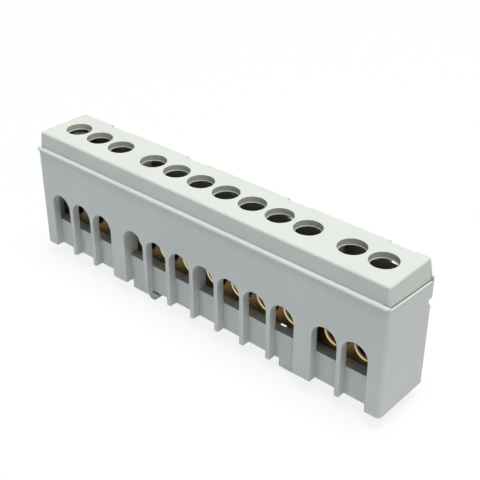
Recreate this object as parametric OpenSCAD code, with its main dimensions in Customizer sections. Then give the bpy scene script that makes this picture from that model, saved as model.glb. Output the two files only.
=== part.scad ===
// Twelve-way terminal block: a brass bar with clamping screws in a two-piece
// moulded housing that clips across a 35 mm top-hat rail.
// X runs along the row of terminals, the wire windows face -Y, +Z is up,
// and z = 0 is the underside of the rail hooks.

/* [Terminals] */
// Spacing of neighbouring terminals
pitch = 6.5; // [6.4:0.1:9]
// Spacing across each of the two wider gaps in the row
gap_pitch = 9.5; // [8.5:0.1:14]
// Diameter of the wire bore in the bar
wire_d = 4.6; // [3.6:0.1:5]
// Depth of the chamfer round each mouth of a wire bore
wire_chamfer = 0.45; // [0.2:0.05:0.6]

/* [Clamping screws] */
// Outer diameter of the screw thread
screw_d = 3.9; // [3:0.1:4.2]
// Length of the screw below its head
screw_l = 9; // [7:0.1:9.8]
// Length of the taper at the screw's tip
tip_taper = 0.5; // [0.3:0.05:0.8]
// Diameter of the screw head
head_d = 5; // [4.4:0.1:5.2]
// Height of the screw head
head_h = 2; // [1.5:0.1:2.4]
// Width of the driver slot
slot_w = 0.9; // [0.6:0.1:1.2]
// Depth of the driver slot
slot_depth = 1.1; // [0.6:0.1:1.2]
// Height of a backed-off screw's tip above its wire bore
tip_gap = 0.1; // [0.05:0.05:0.5]
// Extra height of the first screw, which is backed off furthest
first_raise = 1.8; // [0:0.1:1.9]
// Radial gap between the screw and the hole in the bar
screw_gap = 0.15; // [0.1:0.05:0.25]

/* [Bar] */
// Depth of the bar from front to back
bar_w = 6; // [5.6:0.1:6.6]
// Height of the bar
bar_h = 9; // [8.6:0.1:9.6]
// Length of bar beyond the middle of each end terminal
bar_end = 4.25; // [3.4:0.05:4.4]
// Drop of the wire bores below the middle of the bar
wire_drop = 0.6; // [0:0.1:0.9]

/* [Housing] */
// Length of housing beyond the middle of each end terminal
end_margin = 6; // [5.8:0.1:8]
// Width of the trough that holds the bar
trough_w = 10.3; // [9.9:0.1:11]
// Thickness of the front wall, where the windows are cut
front_wall = 1.7; // [1.4:0.1:2.2]
// Thickness of the back wall at its foot
back_wall = 1.2; // [0.9:0.05:1.4]
// Lean of the back wall between its foot and the groove
back_draft = 0.3; // [0.05:0.05:0.4]
// Thickness of the end walls
end_wall = 1.5; // [1.2:0.1:1.6]
// Radius of the upright corners
corner_r = 0.8; // [0.5:0.1:1.2]
// Thickness of the floor under the bar
floor_t = 1.2; // [1:0.1:1.6]
// Height of the hollow plinth, from the rail to the floor's top
plinth_h = 6.1; // [5.5:0.1:8]
// Thickness of the plinth's front panel and of the walls of its feet
panel_t = 1.2; // [1:0.1:1.5]
// Thickness of the ribs under the floor and beside the bar
rib_t = 1; // [0.8:0.1:1.1]
// Play of the bar between the ribs beside it
guide_play = 0.1; // [0.05:0.05:0.2]
// Height of the trough above the bar
head_room = 8.15; // [7.6:0.05:9]
// Width of a wire window
window_w = 5.5; // [5:0.1:5.7]
// Height of the window's arch centre above the wire bore
window_lift = 0.65; // [0.2:0.05:1]
// Thickness of the rim round the top of the housing
rim_h = 0.6; // [0.4:0.05:0.8]
// Corner radius of the rim and of the band at the back
rim_r = 0.4; // [0.2:0.05:0.5]
// How far the rim stands out in front
rim_out = 0.25; // [0.05:0.05:0.3]
// Height of the thicker band along the top of the back
band_h = 4.75; // [3.8:0.05:5]
// How far the band stands out from the foot of the back wall
band_out = 0.75; // [0.5:0.05:0.9]
// Lean of the band over its height
band_draft = 0.15; // [0.1:0.05:0.3]
// Height of the groove below the band
groove_h = 1.6; // [1.2:0.1:2]
// Wall that is left behind the groove
groove_wall = 0.65; // [0.5:0.05:0.8]

/* [Rail feet] */
// Width of the mounting rail
rail_w = 35; // [34:0.1:35.5]
// Free play of the rail between the feet, on each side
rail_play = 0.25; // [0.1:0.05:0.5]
// Thickness of the rail's flange
rail_t = 1; // [0.8:0.1:1.5]
// Play between the flange and the hooks
flange_play = 0.2; // [0.1:0.05:0.4]
// Width of a foot along the row
foot_w = 4.2; // [3.8:0.1:5]
// Depth of a foot's skirt below the plinth
skirt_drop = 1.8; // [1.4:0.1:2.2]
// Thickness of a hook below the rail's flange
hook_t = 1.7; // [1.4:0.1:2.2]
// Reach of a hook under the rail
hook_reach = 2.35; // [1.8:0.05:2.6]
// Thickness of a hook at its tip
hook_tip = 0.35; // [0.2:0.05:0.6]
// Distance from the rail's side of the foot to the slope under the hook's tip
hook_flat = 1.5; // [1.2:0.1:1.7]
// How far a hook's heel reaches back under its foot
hook_heel = 0.35; // [0.3:0.05:1]
// Radius of a hook's heel
heel_r = 1.1; // [0.6:0.1:1.3]
// Set-back of the fixed hook from the plinth's front panel
hook_inset = 0.55; // [0.3:0.05:1]
// Width of the flexible latch of the right foot
latch_w = 5; // [4:0.1:6]
// Length of the floor's opening over the latch, in front of and behind the bar
core_margin = 0.3; // [0.1:0.05:0.5]
// Gap between that opening and the latch's tongue
core_gap = 0.1; // [0.05:0.05:0.3]

/* [Cover] */
// Height of the cover above the rim
cover_h = 3.55; // [3.3:0.05:4.5]
// Thickness of the cover's top
plate_t = 1.3; // [1:0.1:1.6]
// Diameter of a screwdriver hole
driver_d = 5.4; // [5.3:0.1:5.8]
// Ledge of the rim in front of the cover
ledge_front = 0.75; // [0.6:0.05:1.1]
// Ledge of the rim behind the cover
ledge_back = 0.05; // [0.05:0.05:0.3]
// Ledge of the end wall at each end of the cover
ledge_end = 0.35; // [0.1:0.05:0.5]
// Drop of the cover's lower edge below the rim, at the front of each end
end_step = 0.35; // [0.2:0.05:0.5]
// Further fall of that edge towards the back
end_drop = 0.65; // [0.3:0.05:0.8]
// Gap below that edge, over the end wall
end_gap = 0.3; // [0.15:0.05:0.35]
// Lean of the cover's front
front_lean = 0.2; // [0.05:0.05:0.4]
// Lean of the cover's back
back_lean = 0.6; // [0.2:0.05:0.8]
// Lean of the cover's ends
end_lean = 0.25; // [0.1:0.05:0.6]
// Radius round the cover's top and at its corners
edge_r = 0.5; // [0.3:0.05:0.8]
// Length of the lip that reaches down into the trough
lip_h = 2.7; // [2:0.1:3]
// Thickness of that lip
lip_t = 0.8; // [0.6:0.1:0.9]
// Play of the lip in the trough
lip_play = 0.1; // [0.05:0.05:0.2]
// Width of a prying notch in the back of cover and rim
notch_w = 5.4; // [4.5:0.1:6]
// Depth of a prying notch in the cover's back
notch_cut = 0.75; // [0.3:0.05:0.85]
// Depth of a prying notch below the rim
notch_drop = 1.65; // [0.8:0.05:1.8]
// Height of the slot for a blade under the cover's edge, in a prying notch
blade_h = 0.45; // [0.3:0.05:0.6]
// Width of that slot where it goes on through the lip
blade_w = 3.4; // [2.5:0.1:4.2]
// Rise of the slot through the lip
blade_rise = 0.6; // [0.4:0.05:0.8]
// Width of a hold-down post along the row
post_w = 3; // [2:0.1:3.2]
// Depth of a hold-down post from front to back
post_d = 5; // [4:0.1:5.6]
// Gap between a hold-down post and the bar
post_gap = 0.05; // [0.02:0.01:0.1]
// Length of a snap ridge on the front of the lip
snap_l = 4; // [3:0.1:5]
// Radius of a snap ridge
snap_r = 0.35; // [0.25:0.05:0.4]
// Gap round a snap ridge in its pocket
snap_gap = 0.15; // [0.1:0.05:0.2]

/* [Hidden] */
$fn = 64;
// Fineness of the cover's rounded shell
SHELL_FN = 32;
// Overshoot of cuts past the faces they open
CUT = 1;
// Overlap of shapes that are moulded in one piece
WELD = 0.02;
// Terminals in the first, second and third group
GROUPS = [3, 7, 2];
// Terminals, counted from 0, with a prying notch behind them
NOTCHED = [1, 4, 8, 11];
// Terminals, counted from 0, with a snap ridge on their right
SNAPPED = [0, 5, 7, 10];
// Terminal, counted from 0, over the middle of the rail
RAIL_TERMINAL = 6;
// Terminal, counted from 0, whose right side stays clear of ribs for the latch's core
LATCH_TERMINAL = 8;
// Terminal, counted from 0, whose left side stays clear of ribs for the fixed hook
HOOK_TERMINAL = 4;
HOUSING_GREY = "#cfd2d0";
BRASS = "#c8a064";
ZINC = "#b8bcc0";

COUNT = GROUPS[0] + GROUPS[1] + GROUPS[2];
// The last terminals before the two wider gaps
GAPS = [GROUPS[0] - 1, GROUPS[0] + GROUPS[1] - 1];
row_l = (COUNT - 1) * pitch + len(GAPS) * (gap_pitch - pitch);
// Wider gaps on the left of terminal i
function wide_gaps(i) = (i > GAPS[0] ? 1 : 0) + (i > GAPS[1] ? 1 : 0);
function term_x(i) = i * pitch + wide_gaps(i) * (gap_pitch - pitch) - row_l / 2;
// Middle of the space on the right of terminal i
function rib_x(i) = (term_x(i) + term_x(i + 1)) / 2;

housing_l = row_l + 2 * end_margin;
trough_l = housing_l - 2 * end_wall;
front_y = -trough_w / 2 - front_wall;
panel_y = -trough_w / 2;
back_y = trough_w / 2 + back_wall;
band_y = back_y + band_out;
groove_y = trough_w / 2 + groove_wall;
rim_back_y = band_y - band_draft;
rim_front_y = front_y - rim_out;
end_x = housing_l / 2;

hook_top_z = hook_t;
base_z = hook_top_z + flange_play + rail_t;
floor_z = base_z + plinth_h;
bar_top_z = floor_z + bar_h;
wire_z = floor_z + bar_h / 2 - wire_drop;
arch_z = wire_z + window_lift;
rim_z = bar_top_z + head_room;
top_z = rim_z + cover_h;
plate_z = top_z - plate_t;
band_z = rim_z - band_h;
groove_z = band_z - groove_h;
lip_z = rim_z - lip_h;
snap_z = lip_z + lip_h / 2;

rail_x = term_x(RAIL_TERMINAL);
foot_reach = rail_w / 2 + rail_play;
lip_y = trough_w / 2 - lip_play;
lip_x = trough_l / 2 - lip_play;
// The cover's foot, and the level of its lower edge at the ends
foot_x = end_x - ledge_end;
foot_front_y = rim_front_y + ledge_front;
foot_back_y = rim_back_y - ledge_back;
function end_z(y) = rim_z - end_step - end_drop * (y - foot_front_y) / (foot_back_y - foot_front_y);
// Back of the cover's cheeks, which reach down to that edge
cheek_back_y = foot_back_y - edge_r;

function screw_name(i) = str("terminal_screw_", i < 10 ? "0" : "", i);

// A block between two opposite corners
module block(low, high) {
    translate(low) cube(high - low);
}

// A rectangle between two opposite corners, with round corners of radius r
module round_rect(low, high, r) {
    translate([low.x + r, low.y]) square([high.x - low.x - 2 * r, high.y - low.y]);
    translate([low.x, low.y + r]) square([high.x - low.x, high.y - low.y - 2 * r]);
    for (x = [low.x + r, high.x - r], y = [low.y + r, high.y - r])
        translate([x, y]) circle(r);
}

// An outline in Y and Z, drawn out along X from x0 to x1
module along_row(x0, x1) {
    translate([x0, 0, 0]) rotate([90, 0, 90]) linear_extrude(x1 - x0) children();
}

// A round bar along Y from y0 to y1
module across(r, y0, y1) {
    translate([0, y0, 0]) rotate([-90, 0, 0]) cylinder(r = r, h = y1 - y0);
}

// The housing's section without its hollows: the back leans, then steps out to the band
module housing_section() {
    lean_y = back_y + back_draft;
    flank = lean_y - groove_y;
    polygon([
        [rim_front_y, base_z], [back_y, base_z], [lean_y, groove_z], [groove_y, groove_z + flank],
        [groove_y, band_z], [band_y, band_z], [rim_back_y, rim_z], [rim_front_y, rim_z]]);
}

// The housing's outside: round corners below, nearly square ones on the rim and the band
module housing_outside() {
    rim_low_z = rim_z - rim_h;
    intersection() {
        along_row(-end_x, end_x) housing_section();
        union() {
            linear_extrude(rim_low_z + WELD)
                round_rect([-end_x, front_y], [end_x, band_y], corner_r);
            translate([0, 0, band_z]) linear_extrude(band_h)
                round_rect([-end_x, 0], [end_x, band_y], rim_r);
            translate([0, 0, rim_low_z]) linear_extrude(rim_h)
                round_rect([-end_x, rim_front_y], [end_x, band_y], rim_r);
        }
    }
}

// Outline in Y and Z between two depths, from the cover's lower edge at an end, less a gap, up past the rim
module end_outline(y0, y1, gap, over) {
    polygon([[y0, end_z(y0) - gap], [y1, end_z(y1) - gap], [y1, rim_z + over], [y0, rim_z + over]]);
}

// Room for a cheek of the cover in the right end wall; behind it the wall stays a little higher
module cheek_room() {
    along_row(lip_x, end_x + CUT)
        end_outline(foot_front_y - lip_play, cheek_back_y + lip_play, end_gap, CUT);
    block([lip_x, cheek_back_y, rim_z - end_step], [end_x + CUT, band_y + CUT, rim_z + CUT]);
}

// An arched wire window, open to the bottom, cut through the front wall only
module wire_window() {
    translate([0, 0, arch_z]) across(window_w / 2, front_y - CUT, panel_y);
    block([-window_w / 2, front_y - CUT, base_z - CUT], [window_w / 2, panel_y, arch_z]);
}

// Round ridge, or with a gap its pocket, that holds the cover's lip at the front
module snap_ridge(gap) {
    translate([-snap_l / 2 - gap, -lip_y, snap_z]) rotate([0, 90, 0])
        cylinder(r = snap_r + gap, h = snap_l + 2 * gap);
}

// Ribs in front of and behind the bar, up to its top, at one place along the row
module bar_guides(x) {
    guide_y = bar_w / 2 + guide_play;
    for (side = [-1, 1]) {
        inner = side * guide_y;
        outer = side * (trough_w / 2 + WELD);
        block([x - rib_t / 2, min(inner, outer), floor_z - WELD],
              [x + rib_t / 2, max(inner, outer), bar_top_z]);
    }
}

// Stiffening rib across the hollow plinth
module plinth_rib(x) {
    block([x - rib_t / 2, panel_y + panel_t - WELD, base_z],
          [x + rib_t / 2, trough_w / 2 + WELD, floor_z - floor_t + WELD]);
}

// Outline in X and Z of a hook that points to +X, with the rail's edge at x = 0
module hook_outline() {
    heel_x = heel_r - hook_heel;
    polygon([
        [-hook_heel, hook_top_z], [hook_reach, hook_top_z], [hook_reach, hook_top_z - hook_tip],
        [hook_flat, 0], [heel_x, 0], [heel_x, heel_r], [-hook_heel, heel_r]]);
    intersection() {
        translate([heel_x, heel_r]) circle(heel_r);
        translate([-hook_heel, 0]) square(heel_r);
    }
}

// Hook of the outline above, between two depths
module hook(y0, y1) {
    translate([0, y1, 0]) rotate([90, 0, 0]) linear_extrude(y1 - y0) hook_outline();
}

// Skirts of a foot at the front and the back, and its outer wall, for a rail on its +X side
module foot_skirt() {
    low_z = base_z - skirt_drop;
    top = floor_z - floor_t + WELD;
    block([-foot_w, panel_y, low_z], [0, panel_y + panel_t, top]);
    block([-foot_w, trough_w / 2 - panel_t, low_z], [0, trough_w / 2 + WELD, top]);
    block([-foot_w, panel_y, low_z], [panel_t - foot_w, trough_w / 2 + WELD, top]);
}

// Fixed foot: its inner wall carries a hook over nearly its whole depth
module fixed_foot() {
    translate([rail_x - foot_reach, 0, 0]) {
        foot_skirt();
        block([-panel_t, panel_y, base_z - skirt_drop],
              [0, trough_w / 2 + WELD, floor_z - floor_t + WELD]);
        hook(panel_y + hook_inset, -panel_y - hook_inset);
    }
}

// Latching foot: a tongue that hangs free of the skirts carries a narrower hook
module latching_foot() {
    translate([rail_x + foot_reach, 0, 0]) mirror([1, 0, 0]) {
        foot_skirt();
        block([-panel_t, -latch_w / 2, base_z - skirt_drop], [0, latch_w / 2, floor_z - floor_t + WELD]);
        hook(-latch_w / 2, latch_w / 2);
    }
}

module housing_body() {
    color(HOUSING_GREY) {
        difference() {
            housing_outside();
            block([-trough_l / 2, -trough_w / 2, floor_z], [trough_l / 2, trough_w / 2, rim_z + CUT]);
            block([-trough_l / 2, panel_y + panel_t, base_z - CUT],
                  [trough_l / 2, trough_w / 2, floor_z - floor_t]);
            for (i = [0 : COUNT - 1])
                translate([term_x(i), 0, 0]) wire_window();
            for (i = NOTCHED)
                block([term_x(i) - notch_w / 2, trough_w / 2 - CUT, rim_z - notch_drop],
                      [term_x(i) + notch_w / 2, band_y + CUT, rim_z + CUT]);
            for (i = SNAPPED)
                translate([rib_x(i), 0, 0]) snap_ridge(snap_gap);
            for (side = [0, 1])
                mirror([side, 0, 0]) cheek_room();
            // Opening in the floor over the latch's hook
            translate([rail_x + foot_reach, 0, 0])
                block([-hook_reach, -bar_w / 2 - core_margin, floor_z - floor_t - CUT],
                      [-core_gap, bar_w / 2 + core_margin, floor_z + CUT]);
        }
        bar_guides(term_x(GAPS[0] + 1) - window_w / 2 - rib_t / 2);
        bar_guides(rib_x(RAIL_TERMINAL - 1));
        bar_guides(term_x(GAPS[1]) + window_w / 2 + rib_t / 2);
        for (i = [0 : COUNT - 2])
            if (i != LATCH_TERMINAL && i != HOOK_TERMINAL - 1)
                plinth_rib(rib_x(i));
        fixed_foot();
        latching_foot();
    }
}

// The cover's outside: a drafted cap with round top edges
module cover_outside() {
    top_x = foot_x - end_lean - edge_r;
    top_front_y = foot_front_y + front_lean + edge_r;
    top_back_y = foot_back_y - back_lean - edge_r;
    hull() {
        translate([0, 0, rim_z]) linear_extrude(WELD)
            round_rect([-foot_x, foot_front_y], [foot_x, foot_back_y], edge_r, $fn = SHELL_FN);
        for (x = [-top_x, top_x], y = [top_front_y, top_back_y])
            translate([x, y, top_z - edge_r]) rotate_extrude($fn = SHELL_FN) intersection() {
                circle(edge_r, $fn = SHELL_FN);
                square(edge_r);
            }
    }
}

// Cheek at the right end of the cover, outside the lip, down to the sloping lower edge
module cover_cheek() {
    intersection() {
        along_row(lip_x - WELD, foot_x) end_outline(foot_front_y, cheek_back_y, 0, WELD);
        linear_extrude(rim_z + WELD)
            round_rect([0, foot_front_y + WELD], [foot_x - WELD, foot_back_y], edge_r);
    }
}

// Prying notch: a shallow groove up the cover's back, and a slot for a blade that rises through the lip
module pry_notch() {
    face_y = foot_back_y - notch_cut;
    inner_y = lip_y - lip_t;
    along_row(-notch_w / 2, notch_w / 2) polygon([
        [lip_y, rim_z - WELD], [band_y + CUT, rim_z - WELD], [band_y + CUT, top_z + CUT],
        [face_y - back_lean, top_z + CUT], [face_y - back_lean, top_z],
        [face_y, rim_z + blade_h], [lip_y, rim_z + blade_h]]);
    along_row(-blade_w / 2, blade_w / 2) polygon([
        [lip_y + WELD, rim_z], [lip_y + WELD, rim_z + blade_h], [inner_y, rim_z + blade_rise + blade_h],
        [inner_y - WELD, rim_z + blade_rise + blade_h], [inner_y - WELD, rim_z + blade_rise],
        [inner_y, rim_z + blade_rise]]);
}

module top_cover() {
    color(HOUSING_GREY) {
        difference() {
            union() {
                cover_outside();
                block([-lip_x, -lip_y, lip_z], [lip_x, lip_y, rim_z + WELD]);
                for (side = [0, 1])
                    mirror([side, 0, 0]) cover_cheek();
                for (i = SNAPPED)
                    translate([rib_x(i), 0, 0]) snap_ridge(0);
            }
            block([lip_t - lip_x, lip_t - lip_y, lip_z - CUT], [lip_x - lip_t, lip_y - lip_t, plate_z]);
            for (i = [0 : COUNT - 1])
                translate([term_x(i), 0, plate_z - CUT]) cylinder(d = driver_d, h = plate_t + 2 * CUT);
            for (i = NOTCHED)
                translate([term_x(i), 0, 0]) pry_notch();
        }
        for (i = GAPS)
            block([rib_x(i) - post_w / 2, -post_d / 2, bar_top_z + post_gap],
                  [rib_x(i) + post_w / 2, post_d / 2, plate_z + WELD]);
    }
}

// Wire bore from front to back, with a chamfer at each mouth
module wire_bore() {
    across(wire_d / 2, -bar_w / 2 - CUT, bar_w / 2 + CUT);
    for (side = [0, 1])
        mirror([0, side, 0]) translate([0, -bar_w / 2, 0]) rotate([-90, 0, 0])
            cylinder(r1 = wire_d / 2 + wire_chamfer, r2 = wire_d / 2, h = wire_chamfer);
}

module busbar() {
    bar_x = row_l / 2 + bar_end;
    color(BRASS) difference() {
        block([-bar_x, -bar_w / 2, floor_z], [bar_x, bar_w / 2, bar_top_z]);
        for (i = [0 : COUNT - 1])
            translate([term_x(i), 0, wire_z]) {
                wire_bore();
                cylinder(r = screw_d / 2 + screw_gap, h = bar_h);
            }
    }
}

// Slotted cheese-head screw with a tapered tip; its tip is at z = 0
module clamping_screw() {
    difference() {
        union() {
            cylinder(d1 = screw_d - 2 * tip_taper, d2 = screw_d, h = tip_taper);
            translate([0, 0, tip_taper]) cylinder(d = screw_d, h = screw_l - tip_taper + WELD);
            translate([0, 0, screw_l]) cylinder(d = head_d, h = head_h);
        }
        block([-head_d, -slot_w / 2, screw_l + head_h - slot_depth],
              [head_d, slot_w / 2, screw_l + head_h + CUT]);
    }
}

// Clamping screw of terminal i, counted from 1, backed off clear of its wire bore
module terminal_screw(i) {
    raise = i == 1 ? first_raise : 0;
    color(ZINC) translate([term_x(i - 1), 0, wire_z + wire_d / 2 + tip_gap + raise]) clamping_screw();
}

housing_body();
top_cover();
busbar();
for (i = [1 : COUNT])
    terminal_screw(i);
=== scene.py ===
"""Finishes a phase terminal block around its solid model.

The pieces are a moulded housing and cover, a drawn brass bar and plated clamping screws.
"""

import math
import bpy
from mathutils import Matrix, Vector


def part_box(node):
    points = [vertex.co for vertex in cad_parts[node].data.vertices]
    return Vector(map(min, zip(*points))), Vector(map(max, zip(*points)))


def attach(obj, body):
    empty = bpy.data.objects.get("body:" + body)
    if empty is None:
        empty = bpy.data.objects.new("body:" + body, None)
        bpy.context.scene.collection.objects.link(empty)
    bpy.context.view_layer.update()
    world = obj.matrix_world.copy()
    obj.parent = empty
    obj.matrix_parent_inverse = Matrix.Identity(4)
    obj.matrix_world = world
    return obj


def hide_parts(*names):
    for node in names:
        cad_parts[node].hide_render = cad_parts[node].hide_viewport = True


bl_info = {
    "name": "Phase terminal block",
    "version": (1, 0, 0),
    "blender": (4, 5, 0),
    "location": "3D View > Sidebar > Terminal block",
    "description": "Builds the finished pieces of a phase terminal block and a plain studio",
    "category": "Add Mesh",
}

import bmesh
import bpy
from mathutils import Matrix, Vector

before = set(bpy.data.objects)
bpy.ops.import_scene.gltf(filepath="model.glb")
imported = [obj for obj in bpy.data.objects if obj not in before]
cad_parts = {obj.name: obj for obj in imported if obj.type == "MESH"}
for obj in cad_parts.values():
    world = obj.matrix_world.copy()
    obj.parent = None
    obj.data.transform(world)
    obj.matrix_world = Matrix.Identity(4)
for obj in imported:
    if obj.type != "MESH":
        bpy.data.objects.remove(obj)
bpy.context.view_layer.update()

MM = 0.001
SCREWS = 12
MERGE = 0.001 * MM
ROUND_SIDES = 64

# Planes of the solid model, in mm, that say where an edge lies
END_X = 44.75
FRONT_Y = -6.85
RIM_FRONT_Y = -7.1
BASE_Z = 2.9
RIM_Z = 26.15
PLATE_Z = 28.4
TOP_Z = 29.7

# Bounds between edges, in mm: above the windows, and behind the front of the cover's foot
BAND_Z = 24.55
FOOT_Y = -6.0

# How far, in mm, an edge's middle may lie from its plane, or from y = 0 if it spans an end
NEAR = 0.03
MIDDLE = 1.0

# Angles between faces, in degrees, for joining them, for shading and for rounding
JOINED_BELOW = 0.5
SMOOTH_BELOW = 32
ROUNDED_ABOVE = 50

# Screwdriver holes in the cover, in mm; the ledge stands clear of the plate's underside
HOLE_R = 2.7
LEDGE_LIFT = 0.02

# Wire bores in the bar, in mm, and the bright ring of painted highlight: its depth below the face
# and half its width
BAR_Y = 3.0
BORE_Z = 12.9
MOUTH_R = 2.75
HIGHLIGHT_RING_DEPTH = 0.12
HIGHLIGHT_RING_HALF = 0.1

# Clamping screw, in mm from its tip; the shank reaches a little into the head
SHANK_R = 1.95
SHANK_LENGTH = 9.2
TIP_TAPER = 0.5
HEAD_R = 2.5
HEAD_UNDER = 9.0
HEAD_HEIGHT = 2.0
SLOT_WIDTH = 0.9
SLOT_DEPTH = 1.1

# Turn of the slots in degrees, and what each screw adds to it
SLOT_TURN = 29
SLOT_STEP = 52

# Thread: flank and crest as shares of the pitch, and steps in one turn
FLANK = 0.42
CREST = 0.14
THREAD_STEPS = 28

# Studio: half the floor's side in metres, the share of white in the floor as seen, the sky's light
FLOOR_HALF = 3.0
FLOOR_GLOW = 0.86
SKY_LIGHT = 0.1

# The photograph's camera, found from the row of holes, the windows and the corners
CAMERA_MM = (110.189, -116.516, 116.05)
CAMERA_RIGHT = (0.750497, 0.660871, 0.001894)
CAMERA_UP = (-0.339796, 0.383417, 0.858796)
CAMERA_BACK = (0.566827, -0.645167, 0.512314)
CAMERA_LENS = 72.19
CAMERA_SENSOR = 36
CAMERA_SHIFT = (-0.00925, -0.0231)
CAMERA_CLIP = (0.01, 20)


def linear(hex_colour):
    """Linear red, green, blue and alpha of an sRGB hex colour."""
    channels = [int(hex_colour[i : i + 2], 16) / 255 for i in (1, 3, 5)]
    bent = [c / 12.92 if c <= 0.04045 else ((c + 0.055) / 1.055) ** 2.4 for c in channels]
    return (*bent, 1.0)


class TerminalBlockShape(bpy.types.PropertyGroup):
    """Sizes of the finish, which the solid model leaves out."""

    window_round: bpy.props.FloatProperty(
        name="Window edge", description="Radius round the mouths of the wire windows",
        default=0.12 * MM, min=0, unit="LENGTH", precision=5)
    rim_round: bpy.props.FloatProperty(
        name="Rim edge", description="Radius along the front of the housing's rim",
        default=0.5 * MM, min=0, unit="LENGTH", precision=5)
    seam_round: bpy.props.FloatProperty(
        name="Seam edge", description="Radius along the cover's foot and the tops of the end walls",
        default=0.15 * MM, min=0, unit="LENGTH", precision=5)
    hole_round: bpy.props.FloatProperty(
        name="Hole edge", description="Radius round the mouth of a screwdriver hole",
        default=0.1 * MM, min=0, unit="LENGTH", precision=5)
    hole_ledge: bpy.props.FloatProperty(
        name="Hole ledge", description="Width and height of the ledge at a screwdriver hole's foot",
        default=0.13 * MM, min=0.05 * MM, unit="LENGTH", precision=5)
    bar_round: bpy.props.FloatProperty(
        name="Bar edge", description="Radius along the edges of the drawn bar",
        default=0.2 * MM, min=0, unit="LENGTH", precision=5)
    thread_pitch: bpy.props.FloatProperty(
        name="Thread pitch", description="Rise of the screw's thread in one turn",
        default=0.7 * MM, min=0.2 * MM, unit="LENGTH", precision=5)
    thread_depth: bpy.props.FloatProperty(
        name="Thread depth", description="Depth of the screw's thread",
        default=0.38 * MM, min=0.1 * MM, unit="LENGTH", precision=5)
    head_round: bpy.props.FloatProperty(
        name="Head edge", description="Radius round the top of a screw's head",
        default=0.22 * MM, min=0, unit="LENGTH", precision=5)


class TerminalBlockColours(bpy.types.PropertyGroup):
    """Colours of the materials."""

    housing: bpy.props.FloatVectorProperty(
        name="Housing", description="Grey of the moulded housing",
        subtype="COLOR", size=4, min=0, max=1, default=linear("#bec5c5"))
    cover: bpy.props.FloatVectorProperty(
        name="Cover", description="Grey of the moulded cover",
        subtype="COLOR", size=4, min=0, max=1, default=linear("#bdc5c3"))
    # Brass: the dull skin is tarnish, set darker still as painted shade for the bar's place inside
    # the housing
    brass: bpy.props.FloatVectorProperty(
        name="Brass", description="Colour of the brass bar's dull skin",
        subtype="COLOR", size=4, min=0, max=1, default=linear("#776241"))
    # Bright brass: painted highlight, a ring round the mouth of each bore
    highlight_brass: bpy.props.FloatVectorProperty(
        name="Bright brass", description="Colour of the brass round the mouths of its bores",
        subtype="COLOR", size=4, min=0, max=1, default=linear("#d8c59a"))
    zinc: bpy.props.FloatVectorProperty(
        name="Zinc", description="Colour of the plated screws",
        subtype="COLOR", size=4, min=0, max=1, default=linear("#8f8c80"))
    floor: bpy.props.FloatVectorProperty(
        name="Floor", description="Colour of the studio floor",
        subtype="COLOR", size=4, min=0, max=1, default=linear("#d6dbe2"))


def shape():
    """The finish's sizes, as the scene holds them."""
    return bpy.context.scene.terminal_block_shape


def colours():
    """The materials' colours, as the scene holds them."""
    return bpy.context.scene.terminal_block_colours


def node(tree, kind, inputs=(), **settings):
    """Adds a node, with its settings, and links or sets its inputs by name or number."""
    made = tree.nodes.new(kind)
    for name, value in settings.items():
        setattr(made, name, value)
    for name, value in dict(inputs).items():
        if isinstance(value, bpy.types.NodeSocket):
            tree.links.new(value, made.inputs[name])
        else:
            made.inputs[name].default_value = value
    return made


def empty_material(name):
    """A new material without nodes, and its node tree."""
    material = bpy.data.materials.new(name)
    material.use_nodes = True
    material.node_tree.nodes.clear()
    return material, material.node_tree


def moulded_plastic(name, colour):
    """Polyamide moulded in a spark-eroded tool.

    To the eye it is satin and slightly uneven in tone, with a stray dark speck.
    """
    material, tree = empty_material(name)
    place = node(tree, "ShaderNodeTexCoord").outputs["Object"]
    # Flow of the melt: soft clouds about 14 mm across
    flow = node(tree, "ShaderNodeTexNoise", {
        "Vector": place, "Scale": 1 / (14 * MM), "Detail": 2.0})
    shade = node(tree, "ShaderNodeMapRange", {
        "Value": flow.outputs["Fac"], "From Min": 0.3, "From Max": 0.7,
        "To Min": 0.965, "To Max": 1.02})
    tinted = node(tree, "ShaderNodeVectorMath", {
        0: colour[:3], "Scale": shade.outputs["Result"]}, operation="SCALE")
    # Specks of burnt material, about 0.3 mm wide, in a few of the cells 6 mm across
    cells = node(tree, "ShaderNodeTexVoronoi", {"Vector": place, "Scale": 1 / (6 * MM)})
    dot = node(tree, "ShaderNodeMath", {
        0: cells.outputs["Distance"], 1: 0.028}, operation="LESS_THAN")
    chosen = node(tree, "ShaderNodeSeparateColor", {"Color": cells.outputs["Color"]})
    rare = node(tree, "ShaderNodeMath", {
        0: chosen.outputs["Red"], 1: 0.82}, operation="GREATER_THAN")
    speck = node(tree, "ShaderNodeMath", {
        0: dot.outputs["Value"], 1: rare.outputs["Value"]}, operation="MULTIPLY")
    paint = node(tree, "ShaderNodeMix", {
        "Factor": speck.outputs["Value"], "A": tinted.outputs["Vector"],
        "B": linear("#6f6e6a")[:3]}, data_type="VECTOR")
    # Tool's eroded grain: real grain is 0.05 mm, drawn 0.3 mm so that it shows
    grain = node(tree, "ShaderNodeTexNoise", {
        "Vector": place, "Scale": 1 / (0.3 * MM), "Detail": 3.0})
    sheen = node(tree, "ShaderNodeMapRange", {
        "Value": grain.outputs["Fac"], "To Min": 0.4, "To Max": 0.56})
    relief = node(tree, "ShaderNodeBump", {
        "Height": grain.outputs["Fac"], "Strength": 0.12, "Distance": 0.02 * MM})
    surface = node(tree, "ShaderNodeBsdfPrincipled", {
        "Base Color": paint.outputs["Result"], "Roughness": sheen.outputs["Result"],
        "IOR": 1.53, "Specular IOR Level": 0.3, "Normal": relief.outputs["Normal"]})
    node(tree, "ShaderNodeOutputMaterial", {"Surface": surface.outputs["BSDF"]})
    return material


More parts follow.
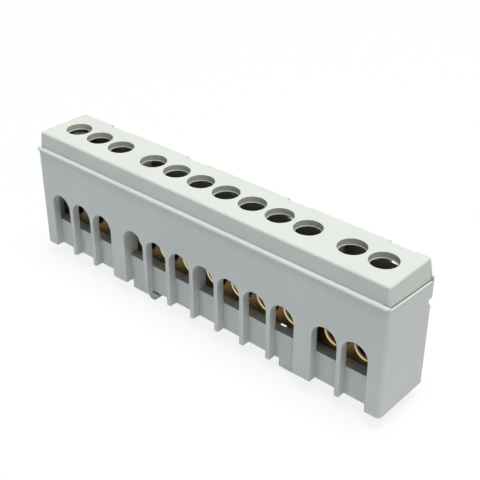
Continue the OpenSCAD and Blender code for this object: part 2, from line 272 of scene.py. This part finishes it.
def drawn_brass(name, colour, highlight_colour):
    """Brass bar as drawn.

    To the eye it has a dull skin of tarnish with fine lines and patches, darkened further as
    painted shade, and a painted highlight: a bright ring round each bore.
    """
    material, tree = empty_material(name)
    place = node(tree, "ShaderNodeTexCoord").outputs["Object"]
    # Painted highlight: a ring of bright brass on the outer 0.2 mm of each chamfer, where its edge
    # catches the light
    apart = node(tree, "ShaderNodeSeparateXYZ", {"Vector": place})
    depth = node(tree, "ShaderNodeMath", {0: apart.outputs["Y"]}, operation="ABSOLUTE")
    outer = node(tree, "ShaderNodeMath", {
        0: depth.outputs["Value"], 1: (BAR_Y - HIGHLIGHT_RING_DEPTH) * MM, 2: HIGHLIGHT_RING_HALF * MM},
        operation="COMPARE")
    level = node(tree, "ShaderNodeMath", {
        0: apart.outputs["Z"], 1: BORE_Z * MM, 2: MOUTH_R * MM}, operation="COMPARE")
    painted_ring = node(tree, "ShaderNodeMath", {
        0: outer.outputs["Value"], 1: level.outputs["Value"]}, operation="MULTIPLY")
    # Draw lines: 25 mm long and 0.12 mm apart
    stretched = node(tree, "ShaderNodeMapping", {
        "Vector": place, "Scale": (1 / (25 * MM), 1 / (0.12 * MM), 1 / (0.12 * MM))})
    lines = node(tree, "ShaderNodeTexNoise", {
        "Vector": stretched.outputs["Vector"], "Scale": 1.0, "Detail": 2.0})
    # Tarnish: patches about 3 mm across
    patches = node(tree, "ShaderNodeTexNoise", {
        "Vector": place, "Scale": 1 / (3 * MM), "Detail": 4.0})
    dulled = node(tree, "ShaderNodeMapRange", {
        "Value": patches.outputs["Fac"], "From Min": 0.35, "From Max": 0.7,
        "To Min": 1.0, "To Max": 0.72})
    # Skin colour: tarnish in patches, on a base darkened as painted shade
    tint = node(tree, "ShaderNodeVectorMath", {
        0: colour[:3], "Scale": dulled.outputs["Result"]}, operation="SCALE")
    # Bright brass over the ring paints the chamfer's highlight
    metal = node(tree, "ShaderNodeMix", {
        "Factor": painted_ring.outputs["Value"], "A": tint.outputs["Vector"],
        "B": highlight_colour[:3]}, data_type="VECTOR")
    skin = node(tree, "ShaderNodeMapRange", {
        "Value": lines.outputs["Fac"], "To Min": 0.34, "To Max": 0.5})
    gloss = node(tree, "ShaderNodeMix", {
        "Factor": painted_ring.outputs["Value"], "A": skin.outputs["Result"], "B": 0.25})
    relief = node(tree, "ShaderNodeBump", {
        "Height": lines.outputs["Fac"], "Strength": 0.15, "Distance": 0.01 * MM})
    surface = node(tree, "ShaderNodeBsdfPrincipled", {
        "Base Color": metal.outputs["Result"], "Metallic": 1.0,
        "Roughness": gloss.outputs["Result"], "Normal": relief.outputs["Normal"]})
    node(tree, "ShaderNodeOutputMaterial", {"Surface": surface.outputs["BSDF"]})
    return material


def plated_steel(name, colour):
    """Zinc-plated steel: to the eye bright, with the faint cloudiness of the plating bath."""
    material, tree = empty_material(name)
    place = node(tree, "ShaderNodeTexCoord").outputs["Object"]
    # Cloudiness: blotches about 1.2 mm across
    clouds = node(tree, "ShaderNodeTexNoise", {
        "Vector": place, "Scale": 1 / (1.2 * MM), "Detail": 3.0})
    tone = node(tree, "ShaderNodeMapRange", {
        "Value": clouds.outputs["Fac"], "From Min": 0.3, "From Max": 0.7,
        "To Min": 0.82, "To Max": 1.0})
    tint = node(tree, "ShaderNodeVectorMath", {
        0: colour[:3], "Scale": tone.outputs["Result"]}, operation="SCALE")
    gloss = node(tree, "ShaderNodeMapRange", {
        "Value": clouds.outputs["Fac"], "To Min": 0.36, "To Max": 0.2})
    surface = node(tree, "ShaderNodeBsdfPrincipled", {
        "Base Color": tint.outputs["Vector"], "Metallic": 1.0,
        "Roughness": gloss.outputs["Result"]})
    node(tree, "ShaderNodeOutputMaterial", {"Surface": surface.outputs["BSDF"]})
    return material


def solid_copy(name):
    """A bmesh of a CAD node's mesh, merged, with its flat faces made whole."""
    bm = bmesh.new()
    bm.from_mesh(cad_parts[name].data)
    bmesh.ops.remove_doubles(bm, verts=bm.verts, dist=MERGE)
    bmesh.ops.dissolve_limit(
        bm, angle_limit=math.radians(JOINED_BELOW), verts=bm.verts, edges=bm.edges)
    return bm


def round_edges(bm, radius, segments, inside):
    """Rounds the sharp edges whose middle, in mm, passes the test."""
    sharp = [
        e for e in bm.edges
        if len(e.link_faces) == 2 and e.calc_face_angle() > math.radians(ROUNDED_ABOVE)
        and inside((e.verts[0].co + e.verts[1].co) / (2 * MM))]
    bmesh.ops.bevel(
        bm, geom=sharp, offset=radius, offset_type="OFFSET", segments=segments, profile=0.5,
        affect="EDGES", clamp_overlap=True, material=-1)


def round_rim(bm, radius, steps=5):
    """Rounds the front of the rim over: cuts its top along the row and lowers it to an arc."""
    start = RIM_FRONT_Y * MM + radius

    def on_top(v):
        return abs(v.co.z / MM - RIM_Z) < NEAR

    for k in range(steps):
        faces = [f for f in bm.faces if all(on_top(v) for v in f.verts)]
        around = dict.fromkeys(g for f in faces for g in (f, *f.edges, *f.verts))
        cut_y = start - radius * math.sin(k * math.pi / (2 * steps))
        bmesh.ops.bisect_plane(
            bm, geom=list(around), plane_co=(0, cut_y, 0), plane_no=(0, 1, 0))
    for v in bm.verts:
        ahead = min(start - v.co.y, radius)
        if on_top(v) and ahead > 0:
            v.co.z -= radius - math.sqrt(radius**2 - ahead**2)


def piece(bm, name, material, body, node_name):
    """Makes an object of the bmesh, smooth but for its sharp edges, for a CAD node on its body."""
    for f in bm.faces:
        f.smooth = True
    for e in bm.edges:
        e.smooth = e.calc_face_angle(0) < math.radians(SMOOTH_BELOW)
    mesh = bpy.data.meshes.new(name)
    bm.to_mesh(mesh)
    bm.free()
    mesh.materials.append(material)
    made = bpy.data.objects.new(name, mesh)
    bpy.context.scene.collection.objects.link(made)
    flat = made.modifiers.new("Flat faces stay flat", "WEIGHTED_NORMAL")
    flat.keep_sharp = True
    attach(made, body)
    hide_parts(node_name)


class TERMINALBLOCK_OT_housing(bpy.types.Operator):
    """Makes the moulded housing with its rounded windows and rim"""

    bl_idname = "terminal_block.housing"
    bl_label = "Housing"

    def execute(self, context):
        def window_mouth(p):
            return abs(p.y - FRONT_Y) < NEAR and BASE_Z + NEAR < p.z < BAND_Z

        def end_wall_top(p):
            return abs(abs(p.x) - END_X) < NEAR and abs(p.y) < MIDDLE and BAND_Z < p.z < RIM_Z

        sizes = shape()
        bm = solid_copy("housing_body")
        round_edges(bm, sizes.window_round, 2, window_mouth)
        round_edges(bm, sizes.seam_round, 3, end_wall_top)
        round_rim(bm, sizes.rim_round)
        material = moulded_plastic("Moulded polyamide, housing grey", colours().housing)
        piece(bm, "housing", material, "housing", "housing_body")
        return {"FINISHED"}


def screw_name(i):
    """Name of a clamping screw's node, counted from 1."""
    return f"terminal_screw_{i:02d}"


def hole_ledge(bm, x, width):
    """Adds the narrow ledge, as high as it is wide, at the foot of the screwdriver hole at x."""
    inner, outer = HOLE_R * MM - width, HOLE_R * MM + width
    low, high = (PLATE_Z + LEDGE_LIFT) * MM, PLATE_Z * MM + width
    outline = ((outer, low), (inner, low), (inner, high), (outer, high))
    verts = [bm.verts.new((x + r, 0, z)) for r, z in outline]
    edges = [bm.edges.new(pair) for pair in zip(verts, verts[1:] + verts[:1])]
    bmesh.ops.spin(
        bm, geom=verts + edges, cent=(x, 0, 0), axis=(0, 0, 1), angle=2 * math.pi,
        steps=ROUND_SIDES, use_merge=True)
    around = {f for v in verts for f in v.link_faces}
    reached = set(around)
    while around:
        around = {f for g in around for e in g.edges for f in e.link_faces} - reached
        reached |= around
    bmesh.ops.recalc_face_normals(bm, faces=list(reached))


class TERMINALBLOCK_OT_cover(bpy.types.Operator):
    """Makes the moulded cover with its rounded screwdriver holes"""

    bl_idname = "terminal_block.cover"
    bl_label = "Cover"

    def execute(self, context):
        def hole_mouth(p):
            return abs(p.z - TOP_Z) < NEAR and abs(p.y) < HOLE_R + NEAR

        def front_foot(p):
            return abs(p.z - RIM_Z) < NEAR and p.y < FOOT_Y

        sizes = shape()
        bm = solid_copy("top_cover")
        round_edges(bm, sizes.hole_round, 2, hole_mouth)
        round_edges(bm, sizes.seam_round, 2, front_foot)
        for i in range(1, SCREWS + 1):
            low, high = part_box(screw_name(i))
            hole_ledge(bm, (low.x + high.x) / 2, sizes.hole_ledge)
        material = moulded_plastic("Moulded polyamide, cover grey", colours().cover)
        piece(bm, "cover", material, "housing", "top_cover")
        return {"FINISHED"}


class TERMINALBLOCK_OT_bar(bpy.types.Operator):
    """Makes the drawn brass bar with its rounded outer edges"""

    bl_idname = "terminal_block.bar"
    bl_label = "Bar"

    def execute(self, context):
        low, high = (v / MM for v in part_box("busbar"))

        def outer_edge(p):
            sides = [min(abs(p[i] - low[i]), abs(p[i] - high[i])) < NEAR for i in range(3)]
            return sum(sides) >= 2

        bm = solid_copy("busbar")
        round_edges(bm, shape().bar_round, 3, outer_edge)
        material = drawn_brass("Drawn brass", colours().brass, colours().highlight_brass)
        piece(bm, "bar", material, "housing", "busbar")
        return {"FINISHED"}


def threaded_shank(bm, radius, length, taper, pitch, depth):
    """Adds a shank with a helical thread, from z = 0 up to the length, narrower at its tip."""
    root = radius - depth
    turns = math.ceil(length / pitch) + 2
    outline = (
        (root, 0.0), (radius, FLANK), (radius, FLANK + CREST), (root, 2 * FLANK + CREST),
        (root, 1.0))
    verts = [bm.verts.new((r, 0, (h - 1) * pitch)) for r, h in outline]
    edges = [bm.edges.new(pair) for pair in zip(verts, verts[1:])]
    bmesh.ops.spin(
        bm, geom=verts + edges, cent=(0, 0, 0), axis=(0, 0, 1), dvec=(0, 0, pitch / THREAD_STEPS),
        angle=2 * math.pi * turns, steps=THREAD_STEPS * turns)
    bmesh.ops.remove_doubles(bm, verts=bm.verts, dist=MERGE)
    for z, upward in ((0, -1), (length, 1)):
        cut = bmesh.ops.bisect_plane(
            bm, geom=bm.verts[:] + bm.edges[:] + bm.faces[:], plane_co=(0, 0, z),
            plane_no=(0, 0, upward), clear_outer=True)
        rim = [e for e in cut["geom_cut"] if isinstance(e, bmesh.types.BMEdge)]
        bmesh.ops.edgeloop_fill(bm, edges=rim)
    for v in bm.verts:
        widest = radius - taper + v.co.z
        across = v.co.xy.length
        if v.co.z < taper and across > widest:
            v.co.xy = v.co.xy * (widest / across)


def slotted_head(bm, radius, height, under_z, slot_width, slot_depth, edge):
    """Adds a cheese head from under_z up, split by a slot along X."""
    floor_z = under_z + height - slot_depth
    disc = bmesh.ops.create_circle(
        bm, cap_ends=True, radius=radius, segments=ROUND_SIDES,
        matrix=Matrix.Translation((0, 0, floor_z)))
    parts = disc["verts"][0].link_faces[:]
    for side in (-1, 1):
        around = dict.fromkeys(g for f in parts for g in (f, *f.edges, *f.verts))
        cut = bmesh.ops.bisect_plane(
            bm, geom=list(around), plane_co=(0, side * slot_width / 2, 0),
            plane_no=(0, 1, 0))
        parts = [g for g in cut["geom"] if isinstance(g, bmesh.types.BMFace)]
    lands = [f for f in parts if abs(f.calc_center_median().y) > slot_width / 2]
    outline = [e for f in parts for e in f.edges if len(e.link_faces) == 1]
    lowered = bmesh.ops.extrude_edge_only(bm, edges=outline)
    drop = [g for g in lowered["geom"] if isinstance(g, bmesh.types.BMVert)]
    bmesh.ops.translate(bm, verts=drop, vec=(0, 0, under_z - floor_z))
    foot = dict.fromkeys(e for v in drop for e in v.link_edges if len(e.link_faces) == 1)
    bmesh.ops.edgeloop_fill(bm, edges=list(foot))
    tops = []
    for land in lands:
        raised = bmesh.ops.extrude_face_region(bm, geom=[land])
        moved = [g for g in raised["geom"] if isinstance(g, bmesh.types.BMVert)]
        bmesh.ops.translate(bm, verts=moved, vec=(0, 0, slot_depth))
        bmesh.ops.delete(bm, geom=[land], context="FACES_ONLY")
        tops += [g for g in raised["geom"] if isinstance(g, bmesh.types.BMFace)]
    arcs = [e for f in tops for e in f.edges]
    bmesh.ops.bevel(
        bm, geom=arcs, offset=edge, offset_type="OFFSET", segments=3, profile=0.5,
        affect="EDGES", clamp_overlap=True, material=-1)


class TERMINALBLOCK_OT_screws(bpy.types.Operator):
    """Makes the threaded clamping screws, each turned a little differently"""

    bl_idname = "terminal_block.screws"
    bl_label = "Screws"

    def execute(self, context):
        sizes = shape()
        material = plated_steel("Zinc-plated steel", colours().zinc)
        for i in range(1, SCREWS + 1):
            name = screw_name(i)
            low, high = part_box(name)
            middle = (low + high) / 2
            turn = Matrix.Rotation(math.radians(SLOT_TURN + SLOT_STEP * i), 3, "Z")
            bm = bmesh.new()
            threaded_shank(
                bm, SHANK_R * MM, SHANK_LENGTH * MM, TIP_TAPER * MM, sizes.thread_pitch,
                sizes.thread_depth)
            slotted_head(
                bm, HEAD_R * MM, HEAD_HEIGHT * MM, HEAD_UNDER * MM, SLOT_WIDTH * MM,
                SLOT_DEPTH * MM, sizes.head_round)
            bmesh.ops.remove_doubles(bm, verts=bm.verts, dist=MERGE / 2)
            bmesh.ops.recalc_face_normals(bm, faces=bm.faces)
            bmesh.ops.rotate(bm, verts=bm.verts, cent=(0, 0, 0), matrix=turn)
            bmesh.ops.translate(bm, verts=bm.verts, vec=(middle.x, middle.y, low.z))
            piece(bm, f"clamping_screw_{i:02d}", material, f"screw_{i:02d}", name)
        return {"FINISHED"}


def softbox(name, place, target, size, power, colour):
    """A square area lamp, in metres and watts, aimed at a point."""
    lamp = bpy.data.lights.new(name, "AREA")
    lamp.shape = "SQUARE"
    lamp.size = size
    lamp.energy = power
    lamp.color = colour
    made = bpy.data.objects.new(name, lamp)
    made.location = place
    made.rotation_euler = (Vector(target) - Vector(place)).to_track_quat("-Z", "Y").to_euler()
    bpy.context.scene.collection.objects.link(made)


def seen(tree):
    """Socket that is 1 for what the camera and shiny surfaces see, and 0 for scattered light."""
    rays = node(tree, "ShaderNodeLightPath")
    either = node(tree, "ShaderNodeMath", {
        0: rays.outputs["Is Camera Ray"], 1: rays.outputs["Is Glossy Ray"]}, operation="MAXIMUM")
    return either.outputs["Value"]


def studio_floor(name, colour):
    """Matt white floor: it looks white to the eye and in metal, and keeps a soft shadow."""
    material, tree = empty_material(name)
    matt = node(tree, "ShaderNodeBsdfDiffuse", {"Color": colour})
    glow = node(tree, "ShaderNodeEmission", {"Color": (1, 1, 1, 1), "Strength": 1.0})
    share = node(tree, "ShaderNodeMath", {0: seen(tree), 1: FLOOR_GLOW}, operation="MULTIPLY")
    both = node(tree, "ShaderNodeMixShader", {
        0: share.outputs["Value"], 1: matt.outputs["BSDF"], 2: glow.outputs["Emission"]})
    node(tree, "ShaderNodeOutputMaterial", {"Surface": both.outputs["Shader"]})
    return material


class TERMINALBLOCK_OT_stage(bpy.types.Operator):
    """Sets up the pale floor, the soft light and the photograph's camera"""

    bl_idname = "terminal_block.stage"
    bl_label = "Stage"

    def execute(self, context):
        scene = context.scene
        bm = bmesh.new()
        bmesh.ops.create_grid(bm, x_segments=1, y_segments=1, size=FLOOR_HALF)
        mesh = bpy.data.meshes.new("floor")
        bm.to_mesh(mesh)
        bm.free()
        mesh.materials.append(studio_floor("Matt white floor", colours().floor))
        floor = bpy.data.objects.new("floor", mesh)
        scene.collection.objects.link(floor)

        world = bpy.data.worlds.new("Studio")
        scene.world = world
        world.use_nodes = True
        tree = world.node_tree
        tree.nodes.clear()
        level = node(tree, "ShaderNodeMapRange", {
            "Value": seen(tree), "To Min": SKY_LIGHT, "To Max": 1.0})
        sky = node(tree, "ShaderNodeBackground", {
            "Color": (1, 1, 1, 1), "Strength": level.outputs["Result"]})
        node(tree, "ShaderNodeOutputWorld", {"Surface": sky.outputs["Background"]})

        softbox("Key", place=(0.19, 0.0, 1.57), target=(0, 0, 0.015),
                size=0.85, power=35.2, colour=(1.04, 1.0, 0.94))
        softbox("Warm fill", place=(0.6, -0.15, 0.3), target=(0, 0, 0.015),
                size=0.3, power=0.39, colour=(1.3, 1.0, 0.75))
        softbox("Low fill", place=(-0.18, -0.36, 0.03), target=(-0.03, 0, 0.005),
                size=0.2, power=0.19, colour=(0.98, 1.0, 1.04))

        lens = bpy.data.cameras.new("Camera")
        lens.sensor_width = CAMERA_SENSOR
        lens.lens = CAMERA_LENS
        lens.shift_x, lens.shift_y = CAMERA_SHIFT
        lens.clip_start, lens.clip_end = CAMERA_CLIP
        camera = bpy.data.objects.new("Camera", lens)
        turned = Matrix((CAMERA_RIGHT, CAMERA_UP, CAMERA_BACK)).transposed().to_4x4()
        camera.matrix_world = Matrix.Translation(Vector(CAMERA_MM) * MM) @ turned
        scene.collection.objects.link(camera)
        scene.camera = camera
        scene.view_settings.view_transform = "Standard"
        return {"FINISHED"}


OPERATORS = (
    TERMINALBLOCK_OT_housing,
    TERMINALBLOCK_OT_cover,
    TERMINALBLOCK_OT_bar,
    TERMINALBLOCK_OT_screws,
    TERMINALBLOCK_OT_stage,
)


class TERMINALBLOCK_PT_panel(bpy.types.Panel):
    """Lists the sizes, the colours and the steps that make the terminal block"""

    bl_label = "Terminal block"
    bl_idname = "TERMINALBLOCK_PT_panel"
    bl_space_type = "VIEW_3D"
    bl_region_type = "UI"
    bl_category = "Terminal block"

    def draw(self, context):
        for group in (shape(), colours()):
            box = self.layout.box()
            for name in group.__annotations__:
                box.prop(group, name)
        for step in OPERATORS:
            self.layout.operator(step.bl_idname)


CLASSES = (TerminalBlockShape, TerminalBlockColours, *OPERATORS, TERMINALBLOCK_PT_panel)


def register():
    """Registers the classes and gives the scene its settings."""
    for c in CLASSES:
        bpy.utils.register_class(c)
    bpy.types.Scene.terminal_block_shape = bpy.props.PointerProperty(type=TerminalBlockShape)
    bpy.types.Scene.terminal_block_colours = bpy.props.PointerProperty(type=TerminalBlockColours)


def unregister():
    """Takes the settings off the scene and the classes out."""
    del bpy.types.Scene.terminal_block_shape
    del bpy.types.Scene.terminal_block_colours
    for c in reversed(CLASSES):
        bpy.utils.unregister_class(c)


def main():
    """Makes every piece and the stage."""
    register()
    bpy.ops.terminal_block.housing()
    bpy.ops.terminal_block.cover()
    bpy.ops.terminal_block.bar()
    bpy.ops.terminal_block.screws()
    bpy.ops.terminal_block.stage()


if __name__ == "__main__":
    main()
